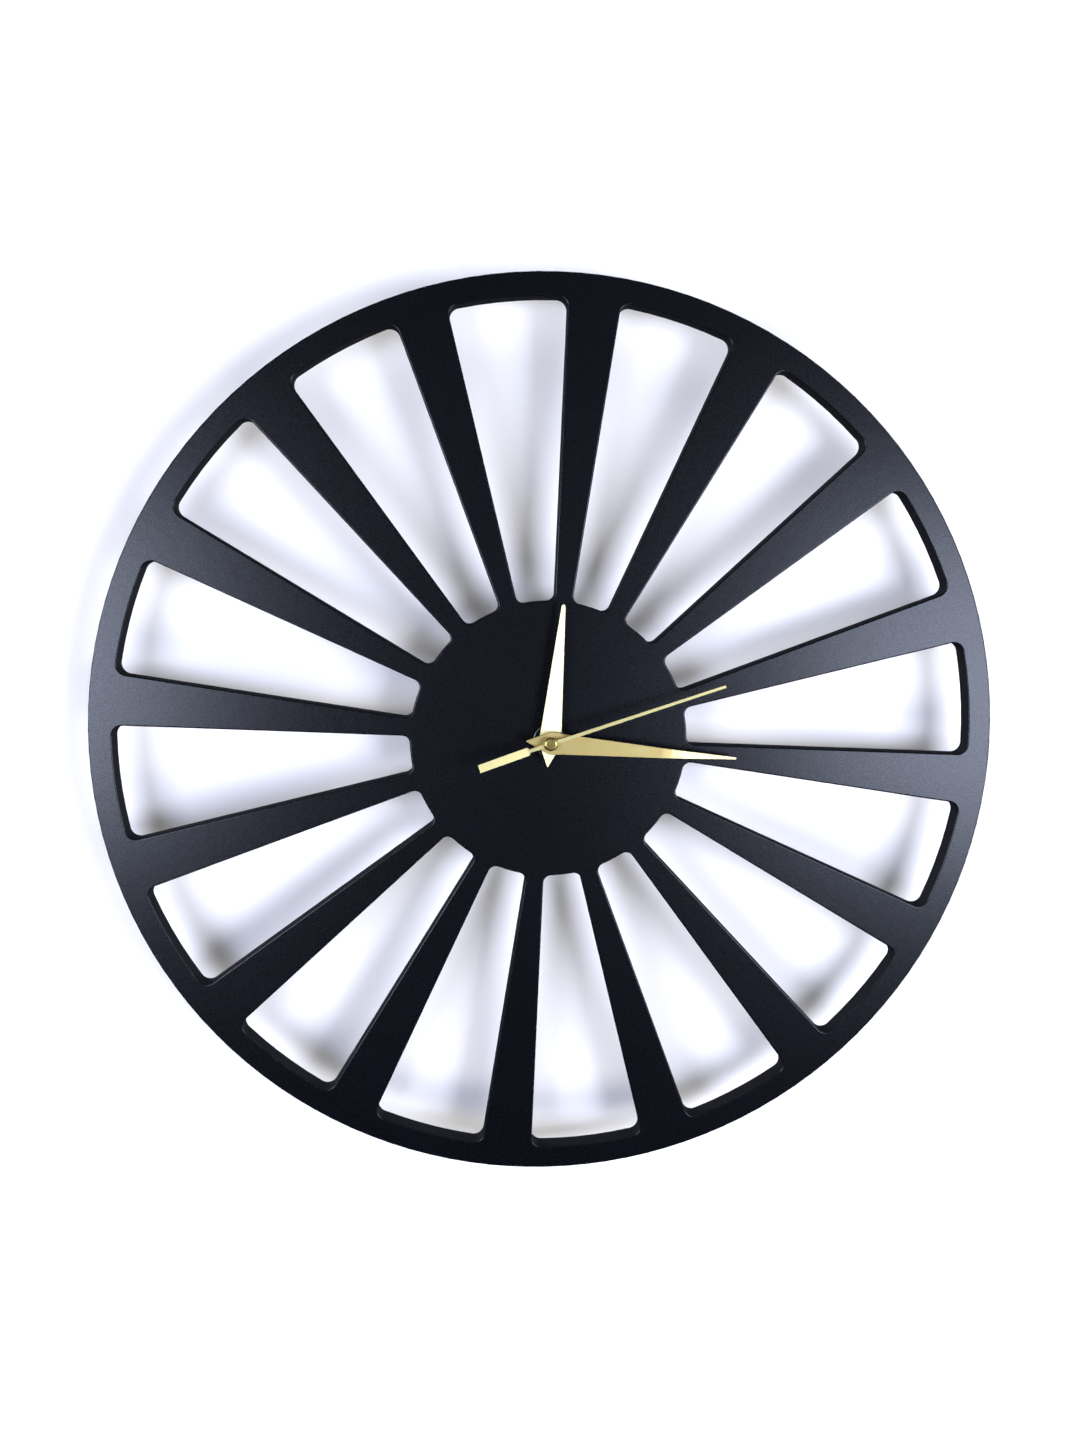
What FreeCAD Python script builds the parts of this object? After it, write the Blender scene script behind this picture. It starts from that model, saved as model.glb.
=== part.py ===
import FreeCAD, Part

import math
import os

from FreeCAD import Vector

# Sunburst wall clock: a round openwork face plate on a battery quartz movement.
#
# Every piece is drawn in the plane of the face, in millimetres: x to the right, y towards
# 12 o'clock and z forward, away from the wall. The origin is on the hand axis, in the wall
# plane. stand_up() then turns the piece so that +Z is up and the face looks along -Y.
# Angles named CLOCK are degrees clockwise from 12 o'clock, seen from the front.

# ------------------------------------------------------------------ face plate
FACE_RADIUS = 177.5
FACE_THICKNESS = 7.5
FACE_EDGE_ROUND = 0.6
FACE_HOLE_RADIUS = 4.2
WINDOWS = 16
WINDOW_HUB_RADIUS = 54.5
WINDOW_RIM_RADIUS = 168.4
WINDOW_HALF_AT_HUB = 7.25
WINDOW_HALF_AT_RIM = 23.1
WINDOW_HUB_CORNER = 3.1
WINDOW_RIM_CORNER = 4.1

# ------------------------------------------------------------------ movement case
CASE_HALF = 28.0
CASE_CORNER = 3.0
CASE_DEPTH = 16.0
CASE_WALL = 1.4
CASE_FRONT_WALL = 1.2
COVER_THICKNESS = 1.2
PARTITION_LOW = -12.2
PARTITION_HIGH = -11.2
CASE_IN = CASE_HALF - CASE_WALL
CAVITY_FRONT = CASE_DEPTH - CASE_FRONT_WALL

HANGER_HALF_BASE = 12.0
HANGER_HALF_TOP = 5.5
HANGER_TOP = 41.0
HANGER_THICKNESS = 1.8
HANGER_HOLE_RADIUS = 3.2
HANGER_HOLE_HEIGHT = 34.5

PLATE_BACK = 8.2
PLATE_FRONT = 9.4
PLATE_TOP = 16.4
PLATE_HALF = 26.2

POST_RADIUS = 1.8
THIN_POST_RADIUS = 1.5
PLATE_POSTS = [(-24.0, -8.8), (24.0, -8.8), (-24.0, 14.4), (24.0, 14.4)]
BOARD_POSTS = [(8.0, 23.6), (22.0, 23.6)]

# ------------------------------------------------------------------ hub stack
RUBBER_RADIUS = 13.0
RUBBER_THICKNESS = 1.0
BUSHING_RADIUS = 4.0
BUSHING_BORE = 2.60
BUSHING_FLANGE_RADIUS = 5.5
BUSHING_FLANGE = 1.0
BUSHING_FRONT = 28.5
BUSHING_CHAMFER = 0.4
WASHER_RADIUS = 6.2
WASHER_THICKNESS = 0.8
WASHER_EDGE = 0.25
NUT_SIDES = 6
NUT_FLATS = 10.0
NUT_THICKNESS = 2.2
NUT_CHAMFER = 0.5

FACE_BACK = CASE_DEPTH + RUBBER_THICKNESS
FACE_FRONT = FACE_BACK + FACE_THICKNESS
WASHER_FRONT = FACE_FRONT + WASHER_THICKNESS
NUT_FRONT = WASHER_FRONT + NUT_THICKNESS

# ------------------------------------------------------------------ hands
HAND_SHEET = 0.5
HOUR_CLOCK = -0.3
HOUR_REACH = 53.6
HOUR_TAIL = 9.8
HOUR_TIP_HALF = 0.8
HOUR_HAND_BACK = 29.7
MINUTE_CLOCK = 89.7
MINUTE_REACH = 74.1
MINUTE_TAIL = 9.4
MINUTE_TIP_HALF = 0.47
MINUTE_HAND_BACK = 32.3
# Folds as (distance from the axis, degrees towards the wall); the tip is eased back.
MINUTE_FOLDS = [(44.0, 2.6), (47.5, 2.6), (51.0, 2.6)]
HAND_HUB_HALF = 4.6
HAND_HUB_ROUND = 3.0
HAND_SHOULDER = 5.0
HAND_SHOULDER_HALF = 4.0
HAND_TAIL_HALF = 0.25
HAND_EDGE = 0.12
COLLET_WALL = 1.05
COLLET_DEPTH = 0.8
TUBE_STANDOUT = 0.3

SECOND_CLOCK = 66.2
SECOND_REACH = 71.0
SECOND_TAIL = 29.3
SECOND_SHEET = 0.3
SECOND_HAND_BACK = 34.9
SECOND_TIP_HALF = 0.5
SECOND_ROOT_HALF = 0.72
COUNTERWEIGHT_HALF = 1.6
COUNTERWEIGHT_START = 8.5
COUNTERWEIGHT_CHAMFER = 0.7
COUNTERWEIGHT_TILT = 9.0
SOCKET_RADIUS = 1.2
SECOND_EYE_RADIUS = 2.0
SOCKET_BACK = 33.7
CAP_RADIUS = 2.7
CAP_HEIGHT = 1.1
CAP_ROUND = 0.95
DIMPLE_RADIUS = 0.45
DIMPLE_DEPTH = 0.5

# ------------------------------------------------------------------ shafts and running fits
RUNNING_GAP = 0.05
END_SHAKE = 0.1
SECOND_ARBOR_RADIUS = 0.5
MINUTE_TUBE_RADIUS = 1.65
HOUR_TUBE_RADIUS = BUSHING_BORE - RUNNING_GAP
ARBOR_RADIUS = 0.55
PIVOT_RADIUS = 0.30
PIVOT_TIP_BACK = 0.5
PIVOT_HOLE_BACK = 0.4
PIVOT_TIP_PLATE = 9.1
PIVOT_TIP_FRONT = 15.4
PIVOT_HOLE_FRONT = 15.5
SETTING_SHAFT_RADIUS = 1.2
SETTING_PIVOT_RADIUS = 0.6

# ------------------------------------------------------------------ gear train
# A tooth is (addendum, dedendum, half width at root, half width at tip), all in modules.
WHEEL_TOOTH = (0.90, 1.15, 0.80, 0.34)
PINION_LEAF = (0.60, 1.25, 0.52, 0.34)

ROTOR_TEETH = 10
INTERMEDIATE_TEETH = 50
INTERMEDIATE_LEAVES = 10
SECOND_TEETH = 60
SECOND_LEAVES = 8
THIRD_TEETH = 60
THIRD_LEAVES = 8
CENTRE_TEETH = 64
CANNON_LEAVES = 12
MOTION_TEETH = 36
MOTION_LEAVES = 10
HOUR_TEETH = 40
SETTING_LEAVES = 12

ROTOR_MODULE = 0.22
SECOND_MODULE = 0.25
THIRD_MODULE = 0.25
CANNON_MODULE = 0.35

THIRD_DISTANCE = THIRD_MODULE * (SECOND_LEAVES + THIRD_TEETH) / 2
CENTRE_MODULE = 2 * THIRD_DISTANCE / (THIRD_LEAVES + CENTRE_TEETH)
MOTION_DISTANCE = CANNON_MODULE * (CANNON_LEAVES + MOTION_TEETH) / 2
HOUR_MODULE = 2 * MOTION_DISTANCE / (MOTION_LEAVES + HOUR_TEETH)
SETTING_DISTANCE = CANNON_MODULE * (SETTING_LEAVES + MOTION_TEETH) / 2
INTERMEDIATE_DISTANCE = SECOND_MODULE * (INTERMEDIATE_LEAVES + SECOND_TEETH) / 2
ROTOR_DISTANCE = ROTOR_MODULE * (ROTOR_TEETH + INTERMEDIATE_TEETH) / 2

# Directions from one axis to the next, in degrees anticlockwise from +x.
THIRD_BEARING = 30.0
INTERMEDIATE_BEARING = 150.0
ROTOR_BEARING = 120.0
MOTION_BEARING = -25.0
SETTING_BEARING = 20.0


def step_from(start, distance, bearing):
    angle = math.radians(bearing)
    return (start[0] + distance * math.cos(angle), start[1] + distance * math.sin(angle))


CENTRE = (0.0, 0.0)
THIRD_AXIS = step_from(CENTRE, THIRD_DISTANCE, THIRD_BEARING)
INTERMEDIATE_AXIS = step_from(CENTRE, INTERMEDIATE_DISTANCE, INTERMEDIATE_BEARING)
ROTOR_AXIS = step_from(INTERMEDIATE_AXIS, ROTOR_DISTANCE, ROTOR_BEARING)
MOTION_AXIS = step_from(CENTRE, MOTION_DISTANCE, MOTION_BEARING)
SETTING_AXIS = step_from(MOTION_AXIS, SETTING_DISTANCE, SETTING_BEARING)

# Depths (back, front) of each toothed disc, from the wall.
SECOND_WHEEL_Z = (2.2, 3.0)
SECOND_PINION_Z = (3.2, 5.2)
THIRD_WHEEL_Z = (3.6, 4.4)
THIRD_PINION_Z = (4.7, 7.6)
INTERMEDIATE_PINION_Z = (1.8, 3.4)
INTERMEDIATE_WHEEL_Z = (4.6, 5.4)
ROTOR_PINION_Z = (4.3, 5.8)
CENTRE_WHEEL_Z = (6.2, 7.0)
CANNON_PINION_Z = (10.0, 11.9)
MOTION_WHEEL_Z = (10.4, 11.4)
MOTION_PINION_Z = (11.6, 13.6)
HOUR_WHEEL_Z = (12.2, 13.2)
SETTING_PINION_Z = (10.0, 11.8)

CANNON_FLANGE_Z = (5.5, 6.0)
CANNON_FLANGE_RADIUS = 2.6
CANNON_SHOULDER_Z = (7.7, 8.0)
CANNON_SHOULDER_RADIUS = 2.3
CLUTCH_Z = (7.2, 7.5)
CLUTCH_RADIUS = 3.4
CLUTCH_ARM_HALF = 0.7
CLUTCH_HUB_RADIUS = 2.3
CLUTCH_ARMS = 3
HOUR_HUB_RADIUS = 3.2
HOUR_HUB_FRONT = 13.7
WHEEL_HOLES = 4
WHEEL_RIM = 1.1
WHEEL_HUB = 1.6
WHEEL_WEB = 0.7

# ------------------------------------------------------------------ hand setting knob
KNOB_RADIUS = 6.0
KNOB_Z = (0.2, 1.8)
KNOB_FLUTES = 24
KNOB_FLUTE_RADIUS = 0.45
KNOB_DISH_RADIUS = 4.2
KNOB_DISH_DEPTH = 0.5
CUP_RADIUS = 6.4
CUP_OUTER = 7.2
CUP_FLOOR_Z = (2.0, 2.8)

# ------------------------------------------------------------------ stepper motor
MAGNET_RADIUS = 3.0
MAGNET_BORE = 0.9
MAGNET_Z = (5.8, 7.8)
STATOR_Z = (5.9, 6.7)
STATOR_HOLE = 3.5
STATOR_RING = 5.4
STATOR_NOTCH = 0.6
STATOR_NOTCH_BEARINGS = (60.0, 240.0)
STATOR_BAR_Y = (8.6, 12.6)
STATOR_REACH = 13.0
STATOR_LEG_INNER = 9.0
STATOR_LEG_TOP = 22.0
CORE_Z = (5.1, 5.9)
COIL_Y = 20.0
CORE_HALF_WIDTH = 1.5
BOBBIN_HALF = 8.6
BOBBIN_FLANGE = 1.0
BOBBIN_FLANGE_HALF_Y = 3.2
BOBBIN_FLANGE_HALF_Z = 2.6
BOBBIN_TUBE_HALF_Y = 2.1
BOBBIN_TUBE_HALF_Z = 1.0
WINDING_HALF_Y = 2.9
WINDING_HALF_Z = 2.35
WINDING_ROUND = 0.9

# ------------------------------------------------------------------ electronics and battery
BOARD_X = (4.5, 25.6)
BOARD_Y = (17.0, 26.0)
BOARD_Z = (6.8, 7.8)
BOARD_HOLE = 0.6
CHIP_AT = (19.0, 20.6)
CHIP_RADIUS = 2.8
CHIP_HEIGHT = 1.1
CRYSTAL_RADIUS = 1.0
CRYSTAL_LENGTH = 6.0
CRYSTAL_START = (7.4, 20.2)
CRYSTAL_LEAD_RADIUS = 0.15
CRYSTAL_LEAD_LENGTH = 1.6
CRYSTAL_LEAD_HALF_GAP = 0.4

BATTERY_RADIUS = 7.1
BATTERY_Y = -19.4
BATTERY_Z = 7.5
BATTERY_BODY = 49.5
BATTERY_NUB = 1.0
BATTERY_NUB_RADIUS = 2.7
BATTERY_EDGE = 0.6
CONTACT_SHEET = 0.4
CONTACT_PLATE_Y = (-25.5, -13.2)
CONTACT_PLATE_Z = (1.5, 13.5)
CONTACT_TAIL_Z = (4.8, 6.8)
CONTACT_FOOT = 3.2
CONTACT_FOOT_Y = (17.2, 20.2)
SPRING_HALF_CHORD = 4.4
SPRING_HALF_WIDTH = 2.5

# ------------------------------------------------------------------ drawing helpers
TURN = 360.0
HALF_TURN = 180.0
QUARTER_TURN = 90.0
EXTRA = 1.0
TINY = 1e-6
AXIS = Vector(0, 0, 1)


def disc(radius, depths, at=CENTRE):
    back, front = depths
    return Part.makeCylinder(radius, front - back, Vector(at[0], at[1], back))


def ring(outer, inner, depths, at=CENTRE):
    back, front = depths
    return disc(outer, depths, at).cut(disc(inner, (back - EXTRA, front + EXTRA), at))


def block(across, up, depths):
    size = (across[1] - across[0], up[1] - up[0], depths[1] - depths[0])
    return Part.makeBox(*size, Vector(across[0], up[0], depths[0]))


def prism(points, depths):
    corners = [Vector(x, y, depths[0]) for x, y in points]
    outline = Part.makePolygon(corners + corners[:1])
    return Part.Face(outline).extrude(AXIS * (depths[1] - depths[0]))


def drilled(shape, radius, depths, places):
    for place in places:
        shape = shape.cut(disc(radius, depths, place))
    return shape


def turned(shape, clock, at=CENTRE):
    """The shape turned clockwise about an axis through a point."""
    copy = shape.copy()
    copy.rotate(Vector(at[0], at[1], 0), AXIS, -clock)
    return copy


def upright_edges(shape, keep):
    """Straight edges along z whose foot passes a test."""
    found = []
    for edge in shape.Edges:
        start = edge.Vertexes[0].Point
        end = edge.Vertexes[-1].Point
        along = abs(start.z - end.z) > TINY
        if along and abs(start.x - end.x) < TINY and abs(start.y - end.y) < TINY and keep(start):
            found.append(edge)
    return found


def level_edges(shape, depth, least_size):
    """Edges that lie in one plane z = depth, leaving out small circles."""
    found = []
    for edge in shape.Edges:
        box = edge.BoundBox
        level = abs(box.ZMin - depth) < TINY and abs(box.ZMax - depth) < TINY
        small_circle = edge.Closed and box.XLength < least_size
        if level and not small_circle:
            found.append(edge)
    return found


# ------------------------------------------------------------------ teeth
def toothed_disc(teeth, module, form, depths, at, phase):
    """A disc with evenly spaced teeth, one of them centred on the phase angle (degrees)."""
    addendum, dedendum, half_root, half_tip = form
    pitch_radius = module * teeth / 2
    root_radius = pitch_radius - dedendum * module
    tip_radius = pitch_radius + addendum * module
    root_angle = half_root * module / root_radius
    tip_angle = half_tip * module / tip_radius
    points = []
    for tooth in range(teeth):
        middle = math.radians(phase + TURN * tooth / teeth)
        corners = [(-root_angle, root_radius), (-tip_angle, tip_radius)]
        corners += [(tip_angle, tip_radius), (root_angle, root_radius)]
        for angle, radius in corners:
            x = at[0] + radius * math.cos(middle + angle)
            y = at[1] + radius * math.sin(middle + angle)
            points.append((x, y))
    return prism(points, depths)


def mesh_phase(phase, teeth, bearing, partner_teeth):
    """The partner's tooth phase that puts its space opposite a tooth of the first wheel."""
    share = ((bearing - phase) * teeth / TURN) % 1.0
    return bearing + HALF_TURN - (0.5 - share) * TURN / partner_teeth


def lightened(wheel, tip_radius, hub_radius, depths, at):
    """The wheel with round holes between its hub and its toothed rim."""
    hole_inner = hub_radius + WHEEL_WEB
    hole_outer = tip_radius - WHEEL_RIM - WHEEL_WEB
    middle = (hole_inner + hole_outer) / 2
    places = []
    for number in range(WHEEL_HOLES):
        places.append(step_from(at, middle, TURN * (number + 0.5) / WHEEL_HOLES))
    through = (depths[0] - EXTRA, depths[1] + EXTRA)
    return drilled(wheel, (hole_outer - hole_inner) / 2, through, places)


def pivoted_arbor(back, front, back_tip, front_tip, at):
    """A plain arbor between two shoulders, with a thin pivot past each shoulder."""
    arbor = disc(ARBOR_RADIUS, (back, front), at)
    pivots = disc(PIVOT_RADIUS, (back_tip, front_tip), at)
    return arbor.fuse(pivots)


TRAIN_SHOULDERS = (COVER_THICKNESS + END_SHAKE, PLATE_BACK - END_SHAKE)
MOTION_SHOULDERS = (PLATE_FRONT + END_SHAKE, CAVITY_FRONT - END_SHAKE)

INTERMEDIATE_PHASE = mesh_phase(0, SECOND_TEETH, INTERMEDIATE_BEARING, INTERMEDIATE_LEAVES)
ROTOR_PHASE = mesh_phase(0, INTERMEDIATE_TEETH, ROTOR_BEARING, ROTOR_TEETH)
THIRD_PHASE = mesh_phase(0, SECOND_LEAVES, THIRD_BEARING, THIRD_TEETH)
CENTRE_PHASE = mesh_phase(0, THIRD_LEAVES, THIRD_BEARING + HALF_TURN, CENTRE_TEETH)
MOTION_PHASE = mesh_phase(0, CANNON_LEAVES, MOTION_BEARING, MOTION_TEETH)
HOUR_PHASE = mesh_phase(0, MOTION_LEAVES, MOTION_BEARING + HALF_TURN, HOUR_TEETH)
SETTING_PHASE = mesh_phase(MOTION_PHASE, MOTION_TEETH, SETTING_BEARING, SETTING_LEAVES)


# ------------------------------------------------------------------ face and hub
def window_cutter():
    """One window: straight sides that spread outwards, between two arcs about the centre."""
    slope = (WINDOW_HALF_AT_RIM - WINDOW_HALF_AT_HUB) / (WINDOW_RIM_RADIUS - WINDOW_HUB_RADIUS)
    low = WINDOW_HUB_RADIUS - WINDOW_HALF_AT_HUB
    half_low = WINDOW_HALF_AT_HUB - slope * WINDOW_HALF_AT_HUB
    high = WINDOW_RIM_RADIUS + WINDOW_HALF_AT_HUB
    half_high = WINDOW_HALF_AT_RIM + slope * WINDOW_HALF_AT_HUB
    depths = (FACE_BACK - EXTRA, FACE_FRONT + EXTRA)
    wedge = prism([(-half_low, low), (half_low, low), (half_high, high), (-half_high, high)], depths)
    cutter = wedge.common(ring(WINDOW_RIM_RADIUS, WINDOW_HUB_RADIUS, depths))
    middle = (WINDOW_HUB_RADIUS + WINDOW_RIM_RADIUS) / 2
    cutter = cutter.makeFillet(WINDOW_HUB_CORNER, upright_edges(cutter, lambda p: p.y < middle))
    return cutter.makeFillet(WINDOW_RIM_CORNER, upright_edges(cutter, lambda p: p.y > middle))


def face_plate():
    plate = ring(FACE_RADIUS, FACE_HOLE_RADIUS, (FACE_BACK, FACE_FRONT))
    cutter = window_cutter()
    step = TURN / WINDOWS
    cutters = [turned(cutter, step * (number + 0.5)) for number in range(WINDOWS)]
    plate = plate.cut(cutters)
    return plate.makeFillet(FACE_EDGE_ROUND, level_edges(plate, FACE_FRONT, 3 * FACE_HOLE_RADIUS))


def rubber_washer():
    return ring(RUBBER_RADIUS, BUSHING_RADIUS, (CASE_DEPTH, FACE_BACK))


def flat_washer():
    washer = ring(WASHER_RADIUS, BUSHING_RADIUS, (FACE_FRONT, WASHER_FRONT))
    rim = [edge for edge in level_edges(washer, WASHER_FRONT, 0) if edge.Curve.Radius > BUSHING_RADIUS]
    return washer.makeFillet(WASHER_EDGE, rim)


def hex_nut():
    """A hexagon nut whose front corners are turned off at 45 degrees."""
    corner_radius = NUT_FLATS / 2 / math.cos(math.pi / NUT_SIDES)
    bearings = [TURN * number / NUT_SIDES for number in range(NUT_SIDES)]
    corners = [step_from(CENTRE, corner_radius, bearing) for bearing in bearings]
    blank = prism(corners, (WASHER_FRONT, NUT_FRONT))
    face_radius = corner_radius - NUT_CHAMFER
    height = NUT_THICKNESS + EXTRA
    cone = Part.makeCone(face_radius + height, face_radius, height, Vector(0, 0, NUT_FRONT - height))
    return blank.common(cone).cut(disc(BUSHING_RADIUS, (FACE_FRONT, BUSHING_FRONT)))


def threaded_bushing():
    """The flanged brass bushing, drawn at the outer diameter of its thread."""
    barrel = disc(BUSHING_RADIUS, (CAVITY_FRONT, BUSHING_FRONT))
    mouth = level_edges(barrel, BUSHING_FRONT, 0)
    barrel = barrel.makeChamfer(BUSHING_CHAMFER, mouth)
    flange = disc(BUSHING_FLANGE_RADIUS, (CAVITY_FRONT - BUSHING_FLANGE, CAVITY_FRONT))
    return barrel.fuse(flange).cut(disc(BUSHING_BORE, (0, BUSHING_FRONT + EXTRA)))


# ------------------------------------------------------------------ movement case
def front_case():
    outer = block((-CASE_HALF, CASE_HALF), (-CASE_HALF, CASE_HALF), (0, CASE_DEPTH))
    outer = outer.makeFillet(CASE_CORNER, upright_edges(outer, lambda p: True))
    ear_corners = [(-HANGER_HALF_BASE, CASE_HALF - CASE_WALL), (HANGER_HALF_BASE, CASE_HALF - CASE_WALL)]
    ear_corners += [(HANGER_HALF_TOP, HANGER_TOP), (-HANGER_HALF_TOP, HANGER_TOP)]
    ear = prism(ear_corners, (0, HANGER_THICKNESS))
    ear = ear.makeFillet(CASE_CORNER, upright_edges(ear, lambda p: p.y > CASE_HALF))
    shell = outer.fuse(ear)
    gears = block((-CASE_IN, CASE_IN), (PARTITION_HIGH, CASE_IN), (-EXTRA, CAVITY_FRONT))
    bay = block((-CASE_IN, CASE_IN), (-CASE_IN, PARTITION_LOW), (-EXTRA, CAVITY_FRONT))
    shell = shell.cut([gears, bay])
    posts = [disc(POST_RADIUS, (PLATE_FRONT, CAVITY_FRONT), place) for place in PLATE_POSTS]
    posts += [disc(THIN_POST_RADIUS, (BOARD_Z[1], CAVITY_FRONT), place) for place in BOARD_POSTS]
    posts += [disc(THIN_POST_RADIUS, (STATOR_Z[1], CAVITY_FRONT), place) for place in stator_feet()]
    shell = shell.fuse(posts)
    shell = shell.cut(disc(BUSHING_RADIUS, (0, CASE_DEPTH + EXTRA)))
    hanger_hole = (-EXTRA, HANGER_THICKNESS + EXTRA)
    shell = drilled(shell, HANGER_HOLE_RADIUS, hanger_hole, [(0, HANGER_HOLE_HEIGHT)])
    blind = (CAVITY_FRONT - EXTRA, PIVOT_HOLE_FRONT)
    shell = drilled(shell, PIVOT_RADIUS + RUNNING_GAP, blind, [MOTION_AXIS])
    shell = drilled(shell, SETTING_PIVOT_RADIUS + RUNNING_GAP, blind, [SETTING_AXIS])
    for side in (-1, 1):
        edge = sorted((side * CASE_IN, side * (CASE_IN - CONTACT_SHEET)))
        shell = shell.cut(block(edge, (PARTITION_LOW, PARTITION_HIGH), CONTACT_TAIL_Z))
    return shell


def rear_cover():
    cover = block((-CASE_IN, CASE_IN), (PARTITION_HIGH, CASE_IN), (0, COVER_THICKNESS))
    cup = disc(CUP_OUTER, (0, CUP_FLOOR_Z[1]), SETTING_AXIS)
    cover = cover.fuse(cup).cut(disc(CUP_RADIUS, (-EXTRA, CUP_FLOOR_Z[0]), SETTING_AXIS))
    shaft_hole = (0, CUP_FLOOR_Z[1] + EXTRA)
    cover = drilled(cover, SETTING_SHAFT_RADIUS + RUNNING_GAP, shaft_hole, [SETTING_AXIS])
    blind = (PIVOT_HOLE_BACK, COVER_THICKNESS + EXTRA)
    pivots = [CENTRE, THIRD_AXIS, INTERMEDIATE_AXIS, ROTOR_AXIS]
    return drilled(cover, PIVOT_RADIUS + RUNNING_GAP, blind, pivots)


def middle_plate():
    plate = block((-PLATE_HALF, PLATE_HALF), (PARTITION_HIGH, PLATE_TOP), (PLATE_BACK, PLATE_FRONT))
    through = (PLATE_BACK - EXTRA, PLATE_FRONT + EXTRA)
    pivots = [THIRD_AXIS, INTERMEDIATE_AXIS, ROTOR_AXIS, MOTION_AXIS]
    plate = drilled(plate, PIVOT_RADIUS + RUNNING_GAP, through, pivots)
    plate = drilled(plate, MINUTE_TUBE_RADIUS + RUNNING_GAP, through, [CENTRE])
    return drilled(plate, SETTING_SHAFT_RADIUS + RUNNING_GAP, through, [SETTING_AXIS])


# ------------------------------------------------------------------ battery and electronics
def along_x(radius, start, end, y, z):
    return Part.makeCylinder(radius, end - start, Vector(start, y, z), Vector(1, 0, 0))


def battery():
    nub_end = CASE_IN - CONTACT_SHEET
    body_end = nub_end - BATTERY_NUB
    body = along_x(BATTERY_RADIUS, body_end - BATTERY_BODY, body_end, BATTERY_Y, BATTERY_Z)
    circles = [edge for edge in body.Edges if edge.Closed]
    body = body.makeFillet(BATTERY_EDGE, circles)
    return body.fuse(along_x(BATTERY_NUB_RADIUS, body_end - EXTRA, nub_end, BATTERY_Y, BATTERY_Z))


def positive_contact():
    wall = (CASE_IN - CONTACT_SHEET, CASE_IN)
    plate = block(wall, CONTACT_PLATE_Y, CONTACT_PLATE_Z)
    tail = block(wall, (CONTACT_PLATE_Y[1], CONTACT_FOOT_Y[1]), CONTACT_TAIL_Z)
    foot_z = (BOARD_Z[0] - CONTACT_SHEET, BOARD_Z[0])
    foot = block((CASE_IN - CONTACT_FOOT, CASE_IN), CONTACT_FOOT_Y, foot_z)
    return plate.fuse([tail, foot])


def negative_contact():
    wall = (-CASE_IN, CONTACT_SHEET - CASE_IN)
    plate = block(wall, CONTACT_PLATE_Y, CONTACT_PLATE_Z)
    tail = block(wall, (CONTACT_PLATE_Y[1], CASE_IN), CONTACT_TAIL_Z)
    board_end = BOARD_X[0] + CONTACT_FOOT
    top = block((-CASE_IN, board_end), (CASE_IN - CONTACT_SHEET, CASE_IN), CONTACT_TAIL_Z)
    foot_z = (BOARD_Z[0] - CONTACT_SHEET, BOARD_Z[0])
    foot_y = (BOARD_Y[1] - CONTACT_FOOT, CASE_IN)
    foot = block((BOARD_X[0], board_end), foot_y, foot_z)
    return plate.fuse([tail, top, foot, contact_spring()])


def contact_spring():
    """A bowed leaf between the negative plate and the flat end of the battery."""
    base = CONTACT_SHEET - CASE_IN
    crown = CASE_IN - CONTACT_SHEET - BATTERY_NUB - BATTERY_BODY
    rise = crown - base
    radius = (SPRING_HALF_CHORD ** 2 + rise ** 2) / (2 * rise)
    at = (crown - radius, BATTERY_Y)
    depths = (BATTERY_Z - SPRING_HALF_WIDTH, BATTERY_Z + SPRING_HALF_WIDTH)
    bow = ring(radius, radius - CONTACT_SHEET, depths, at)
    half = SPRING_HALF_CHORD
    return bow.common(block((base, crown + EXTRA), (BATTERY_Y - half, BATTERY_Y + half), depths))


def circuit_board():
    board = block(BOARD_X, BOARD_Y, BOARD_Z)
    through = (BOARD_Z[0] - EXTRA, BOARD_Z[1] + EXTRA)
    corner = (BOARD_X[1] - CONTACT_FOOT, BOARD_Y[1] - CONTACT_FOOT / 2)
    return drilled(board, BOARD_HOLE, through, [corner])


def controller_chip():
    """A low dome of resin over the chip, on the back of the board."""
    radius = (CHIP_RADIUS ** 2 + CHIP_HEIGHT ** 2) / (2 * CHIP_HEIGHT)
    ball = Part.makeSphere(radius, Vector(CHIP_AT[0], CHIP_AT[1], BOARD_Z[0] - CHIP_HEIGHT + radius))
    return ball.common(disc(CHIP_RADIUS + EXTRA, (BOARD_Z[0] - 2 * CHIP_HEIGHT, BOARD_Z[0]), CHIP_AT))


def crystal_can():
    start, y = CRYSTAL_START
    z = BOARD_Z[0] - CRYSTAL_RADIUS
    can = along_x(CRYSTAL_RADIUS, start, start + CRYSTAL_LENGTH, y, z)
    leads = []
    for side in (-1, 1):
        lead_y = y + side * CRYSTAL_LEAD_HALF_GAP
        lead_end = start + CRYSTAL_LENGTH + CRYSTAL_LEAD_LENGTH
        leads.append(along_x(CRYSTAL_LEAD_RADIUS, start + CRYSTAL_LENGTH - EXTRA, lead_end, lead_y, z))
        foot_at = (lead_end - CRYSTAL_LEAD_RADIUS, lead_y)
        leads.append(disc(CRYSTAL_LEAD_RADIUS, (z, BOARD_Z[0]), foot_at))
    return can.fuse(leads)


# ------------------------------------------------------------------ stepper motor
def stator_feet():
    reach = (STATOR_LEG_INNER + STATOR_REACH) / 2
    return [(ROTOR_AXIS[0] - reach, COIL_Y), (ROTOR_AXIS[0] + reach, COIL_Y)]


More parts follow.
